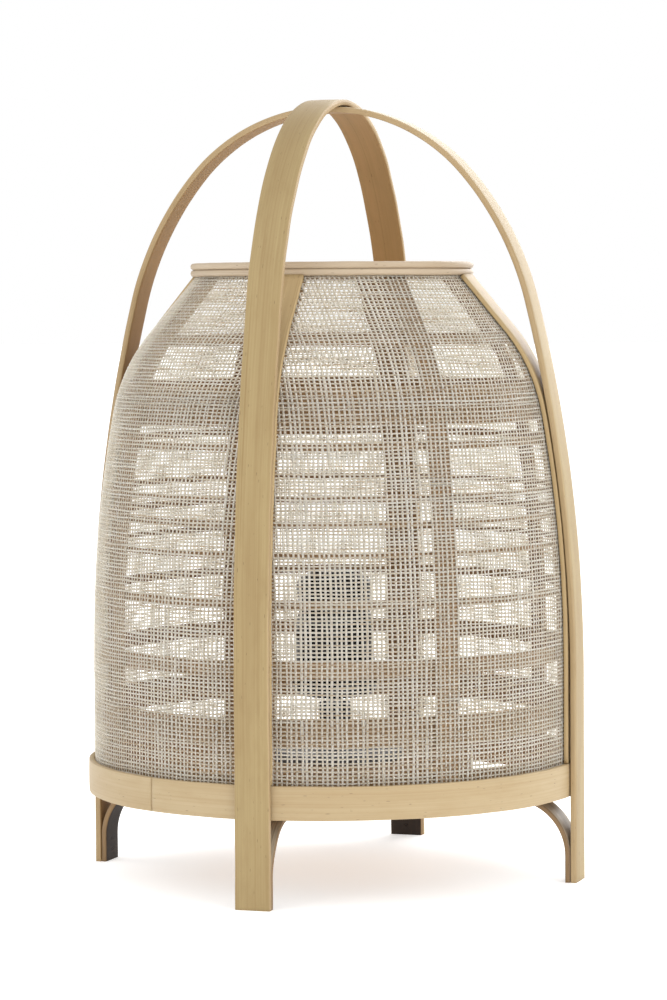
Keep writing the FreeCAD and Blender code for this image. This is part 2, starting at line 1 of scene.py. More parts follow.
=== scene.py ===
import math
import bpy
import numpy as np
from mathutils import Matrix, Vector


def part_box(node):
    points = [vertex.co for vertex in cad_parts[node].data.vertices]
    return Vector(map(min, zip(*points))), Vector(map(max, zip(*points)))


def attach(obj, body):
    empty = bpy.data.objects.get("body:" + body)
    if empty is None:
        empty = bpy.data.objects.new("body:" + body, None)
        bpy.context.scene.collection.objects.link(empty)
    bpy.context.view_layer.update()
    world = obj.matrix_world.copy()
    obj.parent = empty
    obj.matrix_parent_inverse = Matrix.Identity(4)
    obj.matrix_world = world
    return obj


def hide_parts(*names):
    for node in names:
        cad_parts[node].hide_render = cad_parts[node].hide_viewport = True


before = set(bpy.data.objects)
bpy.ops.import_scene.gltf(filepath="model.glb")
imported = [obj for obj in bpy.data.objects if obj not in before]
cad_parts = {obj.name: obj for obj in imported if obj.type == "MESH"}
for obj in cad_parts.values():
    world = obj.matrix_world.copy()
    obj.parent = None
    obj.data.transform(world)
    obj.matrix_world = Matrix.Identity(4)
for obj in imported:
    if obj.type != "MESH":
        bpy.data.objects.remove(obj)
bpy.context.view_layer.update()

mm = 0.001

# ---------------------------------------------------------------------------
# Studio. The lamp stands on a plain pale floor in soft light from all round,
# with a long lens almost level with its upper half.
# ---------------------------------------------------------------------------
camera_place = (0.9373, -2.8574, 0.4837)
camera_axes = np.array([[0.95028, 0.31133, -0.00678],
                        [-0.01137, 0.05645, 0.99834],
                        [0.3112, -0.94862, 0.05718]])
lens_length = 129.57
film_height = 36.0


def stand(name, data, axes, place):
    """New object at place; its right, up and back axes become the columns of its rotation."""
    thing = bpy.data.objects.new(name, data)
    bpy.context.scene.collection.objects.link(thing)
    matrix = np.eye(4)
    matrix[:3, :3] = np.stack(axes, 1)
    matrix[:3, 3] = place
    thing.matrix_world = Matrix(matrix.tolist())
    return thing


def make_camera():
    """Long lens on a film that is taller than it is wide."""
    data = bpy.data.cameras.new("camera")
    data.lens = lens_length
    data.sensor_width = film_height
    data.clip_end = 100
    bpy.context.scene.camera = stand("camera", data, camera_axes, camera_place)


def soft_box(name, place, size, power, aim=(0, 0, 0.3)):
    """Square area light at place, turned to face aim."""
    data = bpy.data.lights.new(name, "AREA")
    data.size = size
    data.energy = power
    back = np.array(place) - np.array(aim)
    back /= np.linalg.norm(back)
    side = np.cross((0, 0, 1), back)
    side /= np.linalg.norm(side)
    stand(name, data, (side, np.cross(back, side), back), place)


make_camera()
soft_box("key", (-1.2, -2.3, 2.3), 1.5, 6)
soft_box("fill", (2.4, -1.6, 1.5), 2.0, 18)
soft_box("back", (0.4, 2.6, 1.6), 2.4, 70)
world = bpy.data.worlds.new("studio")
bpy.context.scene.world = world
world.use_nodes = True
world.node_tree.nodes["Background"].inputs["Color"].default_value = (1, 1, 1, 1)
world.node_tree.nodes["Background"].inputs["Strength"].default_value = 1.0
bpy.context.scene.view_settings.view_transform = "Standard"

floor_half = 30.0
floor_mesh = bpy.data.meshes.new("floor")
floor_mesh.from_pydata([(-floor_half, -floor_half, 0), (floor_half, -floor_half, 0),
                        (floor_half, floor_half, 0), (-floor_half, floor_half, 0)], [], [(0, 1, 2, 3)])
paper = bpy.data.materials.new("white_paper")
paper.use_nodes = True
paper_shader = paper.node_tree.nodes["Principled BSDF"].inputs
paper_shader["Base Color"].default_value = (0.9, 0.9, 0.9, 1)
paper_shader["Roughness"].default_value = 0.9
paper_shader["Specular IOR Level"].default_value = 0.1
paper_shader["Emission Color"].default_value = (1, 1, 1, 1)
paper_shader["Emission Strength"].default_value = 0.45
floor_mesh.materials.append(paper)
floor = bpy.data.objects.new("floor", floor_mesh)
bpy.context.scene.collection.objects.link(floor)


# ---------------------------------------------------------------------------
# Finishes. A finish is one material; its patterns are sums written on sockets.
# ---------------------------------------------------------------------------
class Socket:
    """A shader output that takes part in sums: each operator adds one Math node."""

    def __init__(self, finish, output):
        self.finish = finish
        self.output = output

    def maths(self, operation, first, second):
        return self.finish.node("ShaderNodeMath", {"operation": operation}, {0: first, 1: second})

    def __add__(self, other):
        return self.maths("ADD", self, other)

    def __rsub__(self, other):
        return self.maths("SUBTRACT", other, self)

    def __mul__(self, other):
        return self.maths("MULTIPLY", self, other)

    __radd__ = __add__
    __rmul__ = __mul__

    def between(self, low, high):
        """0 below low, 1 above high and smooth between."""
        return self.finish.node("ShaderNodeMapRange", {"interpolation_type": "SMOOTHSTEP"},
                                {"Value": self, "From Min": low, "From Max": high})


class Finish:
    """One material, its Principled shader, and the one way of adding nodes to it."""

    def __init__(self, name, **uniform):
        self.material = bpy.data.materials.new(name)
        self.material.use_nodes = True
        self.tree = self.material.node_tree
        self.shader = self.tree.nodes["Principled BSDF"]
        for label, value in uniform.items():
            self.shader.inputs[label.replace("_", " ")].default_value = value

    def node(self, kind, settings, sockets, output=0):
        """Adds a node; settings are set first, then each socket gets its value or link."""
        made = self.tree.nodes.new(kind)
        for label, value in settings.items():
            if label == "stops":
                ramp = made.color_ramp.elements
                while len(ramp) < len(value):
                    ramp.new(1.0)
                for element, (place, colour) in zip(ramp, value):
                    element.position = place
                    element.color = colour
            else:
                setattr(made, label, value)
        for label, value in sockets.items():
            if isinstance(value, Socket):
                self.tree.links.new(value.output, made.inputs[label])
            else:
                made.inputs[label].default_value = value
        return Socket(self, made.outputs[output])

    def coordinates(self, stretch, output="UV"):
        """The piece's own coordinates, each axis multiplied by its stretch."""
        place = self.node("ShaderNodeTexCoord", {}, {}, output)
        return self.node("ShaderNodeMapping", {}, {"Vector": place, "Scale": stretch})

    def attribute(self, name):
        return self.node("ShaderNodeAttribute", {"attribute_name": name}, {}, "Fac")

    def noise(self, stretch, detail=2.0, rough=0.5, output="UV"):
        """Noise with stretch cells to a metre along each axis."""
        return self.node("ShaderNodeTexNoise", {},
                         {"Vector": self.coordinates(stretch, output), "Scale": 1.0,
                          "Detail": detail, "Roughness": rough})

    def mix(self, share, first, second, blend="MIX"):
        """Colour first towards colour second by share."""
        return self.node("ShaderNodeMix", {"data_type": "RGBA", "blend_type": blend},
                         {0: share, 6: first, 7: second}, 2)

    def colour(self, value):
        self.tree.links.new(value.output, self.shader.inputs["Base Color"])

    def roughness(self, value):
        self.tree.links.new(value.output, self.shader.inputs["Roughness"])

    def bump(self, height, depth):
        """Raises the surface by depth metres where height is 1."""
        normal = self.node("ShaderNodeBump", {}, {"Strength": 1.0, "Distance": depth, "Height": height})
        self.tree.links.new(normal.output, self.shader.inputs["Normal"])


def shade(red, green, blue):
    """Linear colour of a paint chart's red, green and blue out of 255."""
    return tuple((v / 255 / 12.92 if v < 11 else ((v / 255 + 0.055) / 1.055) ** 2.4)
                 for v in (red, green, blue)) + (1.0,)


# ---------------------------------------------------------------------------
# Split bamboo straps: the two hoops that are handle and legs. Each is one long strap with
# the hard outer skin outside, planed edges and a rougher inner face, bent hot over a form.
# ---------------------------------------------------------------------------
def bamboo(name, skin, flesh, edge, streak, skin_gloss=0.42):
    """Bamboo along the strap's length: fine fibres, slow drifts of tone, streaks and specks."""
    finish = Finish(name, Roughness=0.5, Specular_IOR_Level=0.4)
    fibre = finish.noise((9, 2600, 1), 3.0, 0.6)
    strand = finish.noise((3, 620, 1), 2.0)
    drift = finish.noise((5, 60, 1), 2.0)
    streaks = finish.noise((1.6, 330, 1), 1.0).between(0.66, 0.76)
    blotches = finish.noise((22, 90, 1), 3.0, 0.7).between(0.4, 0.8)
    specks = finish.noise((170, 1000, 1), 0.0).between(0.79, 0.84)
    outside = finish.attribute("skin").between(-0.6, 0.6)
    sides = finish.attribute("side").between(0.93, 1.0)
    base = finish.mix(outside, flesh, skin)
    base = finish.mix(sides, base, edge)
    base = finish.mix(drift.between(0.3, 0.75) * 0.35, base, streak)
    base = finish.mix(strand.between(0.35, 0.8) * 0.35, base, streak)
    base = finish.mix(fibre.between(0.45, 0.9) * 0.55, base, streak)
    base = finish.mix(blotches * 0.3, base, streak)
    base = finish.mix(streaks * 0.5, base, streak)
    base = finish.mix(specks * 0.5, base, shade(70, 45, 25))
    finish.colour(base)
    finish.roughness(0.68 - outside * (0.68 - skin_gloss) + fibre * 0.16)
    finish.bump(fibre * 0.6 + strand * 0.4, 0.00012)
    return finish.material


def wander(seed, places, size, wavelengths):
    """Sum of sines with random phase, so that a hand-cut edge drifts by about size."""
    random = np.random.default_rng(seed)
    total = sum(np.sin(places * 2 * np.pi / w + random.uniform(0, 2 * np.pi)) for w in wavelengths)
    return size * total / len(wavelengths)


def mesh_piece(name, points, faces, material, attributes=(), uv=None, smooth=True):
    """Mesh from whole arrays; uv holds one pair for each face corner."""
    mesh = bpy.data.meshes.new(name)
    mesh.from_pydata(points, [], faces)
    for label, values in attributes:
        layer = mesh.attributes.new(label, "FLOAT", "POINT")
        layer.data.foreach_set("value", np.asarray(values, np.float32))
    if uv is not None:
        mesh.uv_layers.new(name="UVMap").uv.foreach_set("vector", np.asarray(uv, np.float32).ravel())
    mesh.polygons.foreach_set("use_smooth", np.full(len(mesh.polygons), smooth))
    mesh.materials.append(material)
    piece = bpy.data.objects.new(name, mesh)
    bpy.context.scene.collection.objects.link(piece)
    return piece


def strap_section(width, thickness, corner):
    """Rounded rectangle, anticlockwise from the outer face: pairs of (across, out)."""
    steps = np.linspace(0, np.pi / 2, 4)
    points = []
    for quarter in range(4):
        turn = quarter * np.pi / 2
        centre = (np.sign(np.cos(turn + 0.1)) * (width / 2 - corner),
                  np.sign(np.sin(turn + 0.1)) * (thickness / 2 - corner))
        angles = turn + steps
        points.append(np.stack([centre[0] + corner * np.cos(angles),
                                centre[1] + corner * np.sin(angles)], 1))
    corners = np.concatenate(points)
    full = []
    for first, last in zip(corners, np.roll(corners, -1, 0)):
        count = max(1, int(round(np.linalg.norm(last - first) / (4.5 * mm))))
        full.append(first + (last - first) * np.arange(count)[:, None] / count)
    return np.concatenate(full)


def carried(name, line, outward, width, thickness, material, seed, closed=False, corner=0.9 * mm,
            waver=0.25 * mm, crown=0.25 * mm):
    """A section carried along a line: point = line + across * w + outward * t.

    The width wavers a little along the strap, and the outer face is crowned by
    crown * (1 - (w / half width) squared), as split bamboo is.
    """
    section = strap_section(width, thickness, corner)
    line, outward = np.asarray(line), np.asarray(outward)
    if closed:
        tangent = np.roll(line, -1, 0) - np.roll(line, 1, 0)
    else:
        tangent = np.gradient(line, axis=0)
    tangent /= np.linalg.norm(tangent, axis=1)[:, None]
    across = np.cross(tangent, outward)
    across /= np.linalg.norm(across, axis=1)[:, None]
    steps = np.linalg.norm(np.diff(line, axis=0), axis=1)
    length = np.concatenate([[0], np.cumsum(steps)])
    lobes = (0.37, 0.19, 0.083, 0.041)
    if closed:
        whole = length[-1] + np.linalg.norm(line[0] - line[-1])
        lobes = [whole / max(1, round(whole / w)) for w in lobes]
    wide = 1 + wander(seed, length, waver, lobes) / (width / 2)
    shift = wander(seed + 1, length, waver, lobes)
    share = section[:, 0] / (width / 2)
    bulge = crown * (1 - share ** 2) * (section[:, 1] > 0)
    w = section[None, :, 0] * wide[:, None] + shift[:, None]
    t = np.broadcast_to(section[:, 1] + bulge - crown * (section[:, 1] > 0), w.shape)
    points = line[:, None] + across[:, None] * w[..., None] + outward[:, None] * t[..., None]
    rows, columns = w.shape
    row = np.arange(rows if closed else rows - 1)
    i, j = np.meshgrid(row, np.arange(columns), indexing="ij")
    k, m = (i + 1) % rows, (j + 1) % columns
    faces = np.stack([i * columns + j, k * columns + j, k * columns + m, i * columns + m], -1)
    faces = faces.reshape(-1, 4).tolist()
    ring = np.concatenate([[0], np.cumsum(np.linalg.norm(np.diff(section, axis=0), axis=1))])
    around = np.append(ring, ring[-1] + np.linalg.norm(section[0] - section[-1])) + seed * 0.37
    along = np.append(length, length[-1] + steps[-1])
    uv = np.stack([np.stack([along[a], around[b]], -1) for a, b in
                   ((i, j), (i + 1, j), (i + 1, j + 1), (i, j + 1))], 2).reshape(-1, 2)
    if not closed:
        first = list(range(columns))
        last = list(range((rows - 1) * columns, rows * columns))
        faces += [first, last[::-1]]
        caps = np.stack([section[:, 1], section[:, 0]], 1) + seed
        uv = np.concatenate([uv, caps, caps[::-1]])
    skin = np.tile(section[:, 1] / (thickness / 2), rows)
    side = np.tile(np.abs(share), rows)
    return mesh_piece(name, points.reshape(-1, 3), faces, material,
                      (("skin", skin), ("side", side)), uv)


def settle(piece, body, slot, *nodes):
    """Rides on its body and stands for the CAD nodes of the same place, which it hides; slot is not used."""
    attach(piece, body)
    if nodes:
        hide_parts(*nodes)
    return piece


def path(start, heading, steps, inset, spacing=4 * mm):
    """Points and left-hand normals along runs and right-hand bends, inset to the right.

    Each step is (radius, degrees) or (None, length); a bend of radius r passes
    centre + r * (sin, cos) of its turning angle.
    """
    place, turned = np.array(start, float), math.radians(heading)
    points, normals = [], []
    for radius, amount in steps:
        right = np.array([math.sin(turned), -math.cos(turned)])
        if radius is None:
            count = max(2, int(abs(amount) / spacing))
            run = np.linspace(0, amount, count, endpoint=False)[:, None]
            ahead = np.array([math.cos(turned), math.sin(turned)])
            points.append(place + ahead * run + right * inset)
            normals.append(np.broadcast_to(-right, (count, 2)))
            place = place + ahead * amount
            continue
        centre = place + right * radius
        count = max(3, int(radius * math.radians(amount) / spacing))
        angles = turned - np.linspace(0, math.radians(amount), count, endpoint=False)
        out = np.stack([-np.sin(angles), np.cos(angles)], 1)
        points.append(centre + out * (radius - inset))
        normals.append(out)
        turned -= math.radians(amount)
        place = centre + np.array([-math.sin(turned), math.cos(turned)]) * radius
    last_out = np.array([[-math.sin(turned), math.cos(turned)]])
    points.append(place[None] - last_out * inset)
    normals.append(last_out)
    return np.concatenate(points), np.concatenate(normals)


def stood(flat, degrees):
    """Pairs of (radius, height) as points in the upright plane at that bearing."""
    bearing = math.radians(degrees)
    return np.stack([flat[:, 0] * math.cos(bearing), flat[:, 0] * math.sin(bearing), flat[:, 1]], 1)


strap_width = (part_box("under_hoop")[1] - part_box("under_hoop")[0]).y
hoop_half_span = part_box("under_hoop")[1].x
strap_thickness = 5.0 * mm
waver_room = 0.4 * mm
leg_straight = 170.0 * mm
crown_angle = 49.4
shoulder_radius = 259.0 * mm
shoulder_angle = 26.8


def sine(degrees):
    return math.sin(math.radians(degrees))


def cosine(degrees):
    return math.cos(math.radians(degrees))


def hoop(name, height, bearing, material, seed):
    """Legs, haunches, shoulders and a round crown, as one strap from foot to foot.

    span = crown * sin(c) + shoulder run + haunch * (1 - sin(b)) and
    rise = crown * (1 - cos(c)) + shoulder drop + haunch * cos(b) give the two radii, where
    c is the crown's angle and b the crown's and a shoulder's together.
    """
    bent = crown_angle + shoulder_angle
    span = hoop_half_span - shoulder_radius * (sine(bent) - sine(crown_angle))
    rise = height - leg_straight - shoulder_radius * (cosine(crown_angle) - cosine(bent))
    share = (1 - sine(bent)) / cosine(bent)
    crown_radius = (span - share * rise) / (sine(crown_angle) - share * (1 - cosine(crown_angle)))
    haunch_radius = (rise - crown_radius * (1 - cosine(crown_angle))) / cosine(bent)
    side = [(None, leg_straight), (haunch_radius, 90 - bent), (shoulder_radius, shoulder_angle)]
    steps = side + [(crown_radius, 2 * crown_angle)] + side[::-1]
    line, out = path((-hoop_half_span, 0), 90, steps, strap_thickness / 2)
    return carried(name, stood(line, bearing), stood(out, bearing), strap_width, strap_thickness,
                   material, seed)


strap_bamboo = bamboo("strap_bamboo", shade(170, 149, 105), shade(164, 127, 82), shade(186, 162, 124),
                      shade(138, 110, 68))
for name, bearing, seed in (("under_hoop", 0, 11), ("top_hoop", 90, 12)):
    settle(hoop(name + "_strap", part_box(name)[1].z, bearing, strap_bamboo, seed), "lamp",
           "bamboo_strap", name)


# ---------------------------------------------------------------------------
# Knee braces: a bent strip inside each foot that turns in under the floor slats. They are
# split from the inner wall of the culm; their inner face is coloured near black, their outer face pale.
# ---------------------------------------------------------------------------
brace_thickness = 4.5 * mm
brace_bend = 44.0 * mm
brace_inner_end = 112.0 * mm

brace_bamboo = bamboo("brace_bamboo", shade(205, 190, 165), shade(34, 25, 18), shade(160, 130, 92),
                      shade(58, 42, 30))
for k, name in enumerate(("right", "back", "left", "front")):
    low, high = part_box("knee_brace_right")
    outer_bend = brace_bend + brace_thickness
    steps = [(None, high.x - outer_bend - brace_inner_end), (outer_bend, 90),
             (None, high.z - outer_bend)]
    line, out = path((brace_inner_end, high.z), 0, steps, brace_thickness / 2, 3 * mm)
    brace = carried("knee_brace_%s_strip" % name, stood(line, 90 * k), stood(out, 90 * k),
                    strap_width - 2 * waver_room, brace_thickness, brace_bamboo, 20 + k)
    settle(brace, "lamp", "bamboo_dark", "knee_brace_" + name)


# ---------------------------------------------------------------------------
# Base band: one pale strip hooped round the inside of the legs, its ends thinned and
# lapped over each other at the left.
# ---------------------------------------------------------------------------
band_low, band_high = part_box("base_band")
band_thickness = 5.0 * mm
lap_start = 230.5
lap_end = 242.5
lap_slit = 0.5 * mm


def ring_line(radius, height, first, last, count):
    """Circle arc at a height, from one bearing to another."""
    angle = np.radians(np.linspace(first, last, count))
    out = np.stack([np.cos(angle), np.sin(angle), np.zeros(count)], 1)
    return out * np.atleast_1d(radius)[:, None] + (0, 0, height), out


band_bamboo = bamboo("band_bamboo", shade(188, 168, 132), shade(172, 140, 96), shade(194, 174, 138),
                     shade(164, 136, 94))


def base_band():
    """The band's outer end runs on over its inner end, each half as thick at the lap."""
    middle = band_high.x - band_thickness / 2
    height = (band_low.z + band_high.z) / 2
    bearing = np.concatenate([np.linspace(lap_start, lap_end - 0.4, 18),
                              np.linspace(lap_end + 0.3, 360 + lap_start - 0.3, 300),
                              np.linspace(360 + lap_start + 0.2, 360 + lap_end, 18)])
    quarter = (band_thickness + lap_slit) / 4
    offset = np.where(bearing < lap_end, -quarter, np.where(bearing > 360 + lap_start, quarter, 0))
    angle = np.radians(bearing)
    out = np.stack([np.cos(angle), np.sin(angle), 0 * angle], 1)
    line = out * (middle + offset)[:, None] + (0, 0, height)
    return line[::-1], out[::-1], offset[::-1]


def thinned(piece, line, out, offset, thickness, thin):
    """Scales the thickness of the rows of a carried strip to thin where they are lapped."""
    count = len(piece.data.vertices)
    points = np.empty(count * 3)
    piece.data.vertices.foreach_get("co", points)
    points = points.reshape(len(line), -1, 3)
    depth = ((points - line[:, None]) * out[:, None]).sum(2)
    factor = np.where(offset != 0, thin / thickness, 1.0)[:, None]
    points += out[:, None] * (depth * (factor - 1))[..., None]
    piece.data.vertices.foreach_set("co", points.ravel())


line, out, offset = base_band()
band = carried("base_band_strip", line, out, band_high.z - band_low.z, band_thickness, band_bamboo, 31,
               corner=0.7 * mm, waver=0.15 * mm)
thinned(band, line, out, offset, band_thickness, (band_thickness - lap_slit) / 2)
settle(band, "lamp", "bamboo_band", "base_band")


# ---------------------------------------------------------------------------
# Shade outline: the cloth runs straight down a slope from the rim, round a shoulder, and
# down a nearly upright side to the hem behind the band.
# ---------------------------------------------------------------------------
cloth_thickness = 0.8 * mm
shade_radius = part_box("cloth_right_back")[1].x - cloth_thickness
hem_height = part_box("cloth_right_back")[0].z
slope_angle = 50.0
rim_seat_radius = 110.0 * mm
rim_seat_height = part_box("cloth_right_back")[1].z - cloth_thickness * cosine(slope_angle)
shade_shoulder_radius = 142.0 * mm
shade_shoulder_angle = 29.6
shade_side_radius = 1100.0 * mm

side_angle = 90.0 - slope_angle - shade_shoulder_angle
shoulder_start = slope_angle + shade_shoulder_angle
side_spread = shade_side_radius * (1 - sine(shoulder_start))
shoulder_spread = shade_shoulder_radius * (sine(shoulder_start) - sine(slope_angle))
slope_length = (shade_radius - side_spread - shoulder_spread - rim_seat_radius) / cosine(slope_angle)
shoulder_foot = (rim_seat_height - slope_length * sine(slope_angle)
                 - shade_shoulder_radius * (cosine(slope_angle) - cosine(shoulder_start)))
side_foot = shoulder_foot - shade_side_radius * cosine(shoulder_start)
outline_steps = [(None, slope_length), (shade_shoulder_radius, shade_shoulder_angle),
                 (shade_side_radius, side_angle), (None, side_foot - hem_height)]
outline, outline_out = path((rim_seat_radius, rim_seat_height), -slope_angle, outline_steps, 0, 1 * mm)
outline_length = np.concatenate([[0], np.cumsum(np.linalg.norm(np.diff(outline, axis=0), axis=1))])
cloth_length = outline_length[-1]


def along_shade(length):
    """Radius, height and outward pair of the outline at a length from its top edge."""
    values = [np.interp(length, outline_length, column) for column in (*outline.T, *outline_out.T)]
    return values


def shade_strip(skip, foot, offset, bearing):
    """Line and normals of a strip that follows the outline, offset outwards."""
    count = int((foot - skip) / (5 * mm))
    radius, height, out_r, out_z = along_shade(np.linspace(skip, foot, count))
    line = np.stack([radius + out_r * offset, height + out_z * offset], 1)
    return stood(line, bearing), stood(np.stack([out_r, out_z], 1), bearing)


# ---------------------------------------------------------------------------
# Lattice inside the cloth: four uprights, four seam laths and nine rings of raw brown bamboo
# sliver, nailed to each other and to the cover strips, and a deeper ring round the floor.
# ---------------------------------------------------------------------------
upright_width = 20.0 * mm
upright_thickness = 3.5 * mm
upright_gap = 0.9 * mm
upright_skip = 5.5 * mm
ring_thickness = 2.5 * mm

lattice_bamboo = bamboo("lattice_bamboo", shade(172, 140, 100), shade(146, 112, 74), shade(178, 146, 106),
                        shade(122, 90, 58), 0.6)
for k, name in enumerate(("right_back", "left_back", "left_front", "right_front")):
    line, out = shade_strip(upright_skip, cloth_length, -upright_gap - upright_thickness / 2, 45 + 90 * k)
    settle(carried("upright_%s_sliver" % name, line, out, upright_width, upright_thickness,
                   lattice_bamboo, 40 + k), "lamp", "bamboo_lattice", "upright_" + name)

seam_lath_width = 29.0 * mm
seam_lath_gap = (rim_seat_radius - math.sqrt(rim_seat_radius ** 2 - (seam_lath_width / 2) ** 2)
                 + 0.3 * mm)
seam_lath_thickness = upright_gap + upright_thickness - seam_lath_gap
for k, name in enumerate(("right", "back", "left", "front")):
    line, out = shade_strip(upright_skip, cloth_length, -seam_lath_gap - seam_lath_thickness / 2, 90 * k)
    settle(carried("seam_lath_%s_sliver" % name, line, out, seam_lath_width - waver_room,
                   seam_lath_thickness, lattice_bamboo, 46 + k), "lamp", "bamboo_lattice",
           "seam_lath_" + name)

ring_inset = upright_gap + upright_thickness + 0.9 * mm + ring_thickness / 2
for k, name in enumerate(sorted(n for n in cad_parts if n.startswith("ring_"))):
    low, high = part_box(name)
    middle = (low.z + high.z) / 2
    place = np.interp(-middle, -outline[:, 1], outline_length)
    radius, height, out_r, out_z = along_shade(place)
    lean = np.array([out_r, out_z]) / math.hypot(out_r, out_z)
    centre = (radius - ring_inset / lean[0], middle)
    angle = np.radians(np.linspace(0, 360, 240, endpoint=False) + 37 * k)
    out = np.stack([np.cos(angle) * lean[0], np.sin(angle) * lean[0], 0 * angle + lean[1]], 1)
    line = np.stack([np.cos(angle) * centre[0], np.sin(angle) * centre[0], 0 * angle + centre[1]], 1)
    ring = carried(name + "_sliver", line, out, (high.z - low.z) / lean[0] - 0.6 * mm, ring_thickness,
                   lattice_bamboo, 50 + k, True, 0.6 * mm)
    settle(ring, "lamp", "bamboo_lattice", name)

low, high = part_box("inner_base_ring")
base_ring_thickness = 4.0 * mm
line, out = ring_line(high.x - base_ring_thickness / 2, (low.z + high.z) / 2, 0, 358.8, 300)
settle(carried("inner_base_ring_strip", line, out, high.z - low.z, base_ring_thickness, lattice_bamboo,
               60, True), "lamp", "bamboo_lattice", "inner_base_ring")


# ---------------------------------------------------------------------------
# Cloth: four panels of open plain weave in slubby hand-spun linen. Every yarn is there, its
# warps parallel to the panel's middle and cut off where the cover strips cross them.
# ---------------------------------------------------------------------------
warp_pitch = 4.0 * mm
weft_pitch = 3.1 * mm
warp_yarn = 1.72 * mm
weft_yarn = 1.38 * mm
yarn_depth = 0.62 * mm
weave_lift = 0.3 * mm
seam_gap = 0.8 * mm
warp_jitter = 0.22 * mm
warp_sway = 0.55 * mm
weft_wave = 0.45 * mm
cloth_pull = 1.1 * mm
pull_reach = 40 * mm
edge_margin = 0.5 * mm


def linen():
    """Ecru linen: each yarn has its own tone, with darker and lighter stretches along it."""
    finish = Finish("linen", Roughness=0.9, Specular_IOR_Level=0.15, Sheen_Weight=0.5,
                    Subsurface_Weight=1.0, Subsurface_Scale=4.0 * mm, Subsurface_Radius=(1.0, 0.95, 0.85))
    tone = finish.attribute("tone")
    fuzz = finish.noise((900, 900, 900), 2.0, 0.6, "Object")
    base = finish.mix(tone, shade(142, 117, 82), shade(216, 205, 183))
    base = finish.mix(fuzz.between(0.35, 0.75) * 0.25, base, shade(166, 142, 108))
    finish.colour(base)
    return finish.material


def slubs(random, shape, spacing, share):
    """Thick places: smooth humps 12 to 40 mm long at random along each yarn."""
    yarns, samples = shape
    wide = np.ones(shape)
    places = np.arange(samples)[None] * spacing
    for _ in range(max(1, int(samples * spacing * share))):
        middle = random.uniform(0, samples * spacing, (yarns, 1))
        reach = random.uniform(6 * mm, 20 * mm, (yarns, 1))
        size = random.uniform(0.15, 0.75, (yarns, 1)) * (random.random((yarns, 1)) < 0.3)
        wide += size * np.exp(-((places - middle) / reach) ** 2)
    return wide


def drifted(random, shape, spacing, size, wavelengths):
    """Each yarn's own slow sideways drift: sines with random phases."""
    yarns, samples = shape
    places = np.arange(samples)[None] * spacing
    total = np.zeros(shape)
    for wavelength in wavelengths:
        total += np.sin(places * 2 * np.pi / wavelength + random.uniform(0, 2 * np.pi, (yarns, 1)))
    return size * total / len(wavelengths)


def yarn_mesh(centre, side, out, width, depth, kept):
    """Flat diamond section round each kept sample: points, faces, end faces and their yarn.

    The section's corners are centre +- side * width / 2 and centre +- out * depth / 2.
    """
    half_w, half_d = width[..., None] / 2, depth / 2
    ring = np.stack([centre + side * half_w, centre + out * half_d, centre - side * half_w,
                     centre - out * half_d], 2)
    index = -np.ones(kept.shape, int)
    index[kept] = np.arange(kept.sum())
    points = ring[kept].reshape(-1, 3)
    joined = kept[:, :-1] & kept[:, 1:]
    first, second = index[:, :-1][joined] * 4, index[:, 1:][joined] * 4
    faces = [np.stack([first + a, first + b, second + b, second + a], 1)
             for a, b in ((0, 1), (1, 2), (2, 3), (3, 0))]
    before = np.pad(kept, ((0, 0), (1, 0)))[:, :-1]
    after = np.pad(kept, ((0, 0), (0, 1)))[:, 1:]
    start, end = index[kept & ~before] * 4, index[kept & ~after] * 4
    caps = [np.stack([start + 3, start + 2, start + 1, start], 1),
            np.stack([end, end + 1, end + 2, end + 3], 1)]
    return points, np.concatenate(faces + caps)


